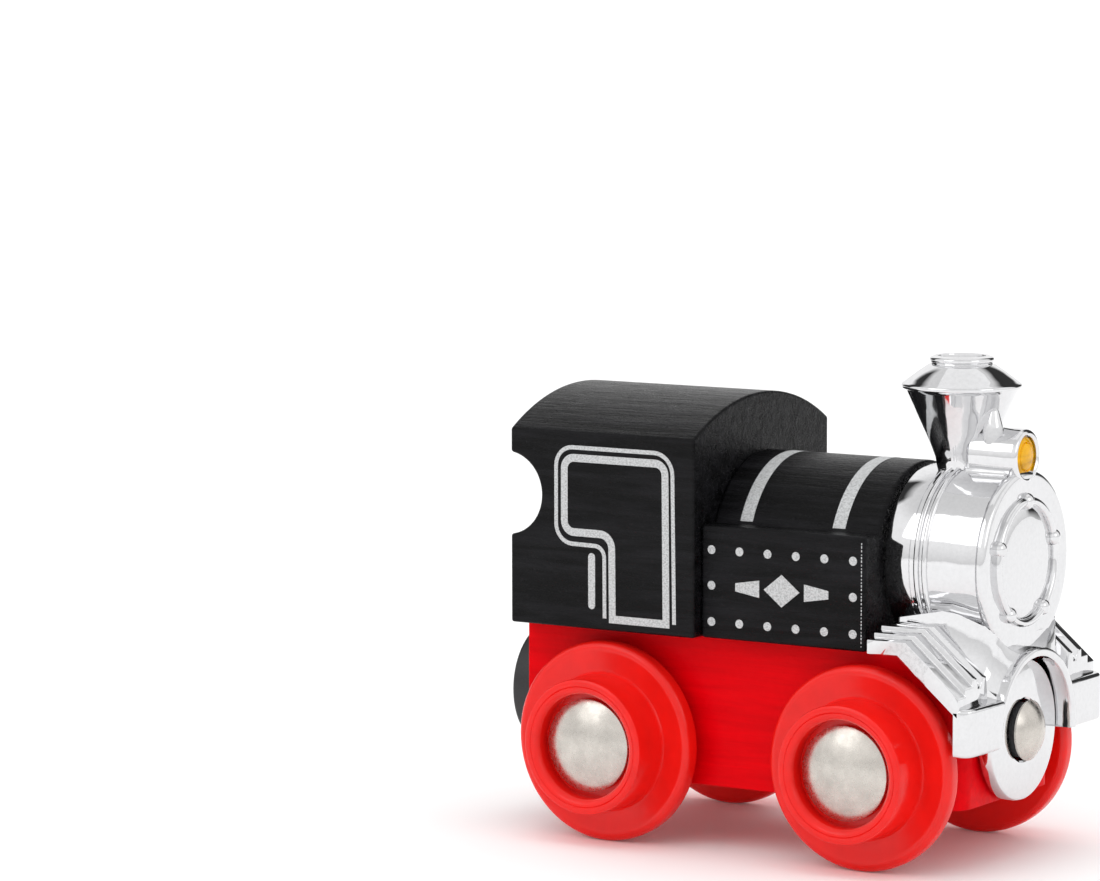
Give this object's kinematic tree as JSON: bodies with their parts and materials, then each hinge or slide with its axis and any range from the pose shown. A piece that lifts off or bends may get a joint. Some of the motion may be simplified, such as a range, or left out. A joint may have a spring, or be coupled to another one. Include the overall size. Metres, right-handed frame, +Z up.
{
  "type": "toy steam engine",
  "caption": "Wooden push-along toy steam engine with free-rolling flanged wheels, plated chimney end and magnetic couplings.",
  "frame": {"origin": "centre of the footprint, at the ground under the wheels", "axes": "+X forward to the chimney end, +Y to the left side, +Z up"},
  "size_m": [0.059, 0.034, 0.0491],
  "materials": {
    "red_painted_wood": "satin red lacquer on beech",
    "black_painted_wood": "satin black paint with the grain telegraphing through",
    "bare_wood": "unpainted beech",
    "plated_plastic": "mirror-bright vacuum plating on plastic",
    "amber_plastic": "clear gloss amber",
    "steel": "plain bright steel",
    "nickel": "satin nickel-plated steel",
    "ferrite": "dull dark grey sintered ferrite",
    "black_plastic": "semi-gloss black",
    "red_plastic": "gloss red moulding"
  },
  "bodies": {
    "engine_body": {"chassis": "red_painted_wood", "cab": "black_painted_wood", "boiler": "black_painted_wood", "cab_boiler_dowel": "bare_wood", "smokebox": "plated_plastic", "chimney": "plated_plastic", "headlamp_lens": "amber_plastic", "pilot_deck": "plated_plastic", "body_screw_rear": "steel", "body_screw_front": "steel", "front_coupling_plate": "plated_plastic", "front_coupling_pin": "steel", "rear_coupling_housing": "black_plastic", "rear_coupling_dish": "nickel", "rear_coupling_pin": "steel"},
    "rear_axle": {"rear_axle": "steel", "rear_left_hub_cap": "nickel", "rear_right_hub_cap": "nickel"},
    "front_axle": {"front_axle": "steel", "front_left_hub_cap": "nickel", "front_right_hub_cap": "nickel"},
    "rear_left_wheel": {"rear_left_wheel": "red_plastic"},
    "rear_right_wheel": {"rear_right_wheel": "red_plastic"},
    "front_left_wheel": {"front_left_wheel": "red_plastic"},
    "front_right_wheel": {"front_right_wheel": "red_plastic"},
    "front_magnet": {"front_magnet": "ferrite", "front_magnet_cap": "steel"},
    "rear_magnet": {"rear_magnet": "ferrite", "rear_magnet_cap": "nickel"}
  },
  "joints": [
    {"name": "rear_axle_spin", "type": "hinge", "parent": "engine_body", "child": "rear_axle", "pos_m": [-0.01239, 0, 0.01], "axis": [0, 1, 0], "continuous": true},
    {"name": "front_axle_spin", "type": "hinge", "parent": "engine_body", "child": "front_axle", "pos_m": [0.01661, 0, 0.01], "axis": [0, 1, 0], "continuous": true},
    {"name": "rear_left_wheel_spin", "type": "hinge", "parent": "rear_axle", "child": "rear_left_wheel", "pos_m": [-0.01239, 0.012, 0.01], "axis": [0, 1, 0], "continuous": true},
    {"name": "rear_right_wheel_spin", "type": "hinge", "parent": "rear_axle", "child": "rear_right_wheel", "pos_m": [-0.01239, -0.012, 0.01], "axis": [0, 1, 0], "continuous": true},
    {"name": "front_left_wheel_spin", "type": "hinge", "parent": "front_axle", "child": "front_left_wheel", "pos_m": [0.01661, 0.012, 0.01], "axis": [0, 1, 0], "continuous": true},
    {"name": "front_right_wheel_spin", "type": "hinge", "parent": "front_axle", "child": "front_right_wheel", "pos_m": [0.01661, -0.012, 0.01], "axis": [0, 1, 0], "continuous": true},
    {"name": "front_magnet_spin", "type": "hinge", "parent": "engine_body", "child": "front_magnet", "pos_m": [0.02799, 0, 0.013], "axis": [1, 0, 0], "continuous": true},
    {"name": "rear_magnet_spin", "type": "hinge", "parent": "engine_body", "child": "rear_magnet", "pos_m": [-0.02799, 0, 0.013], "axis": [1, 0, 0], "continuous": true}
  ]
}
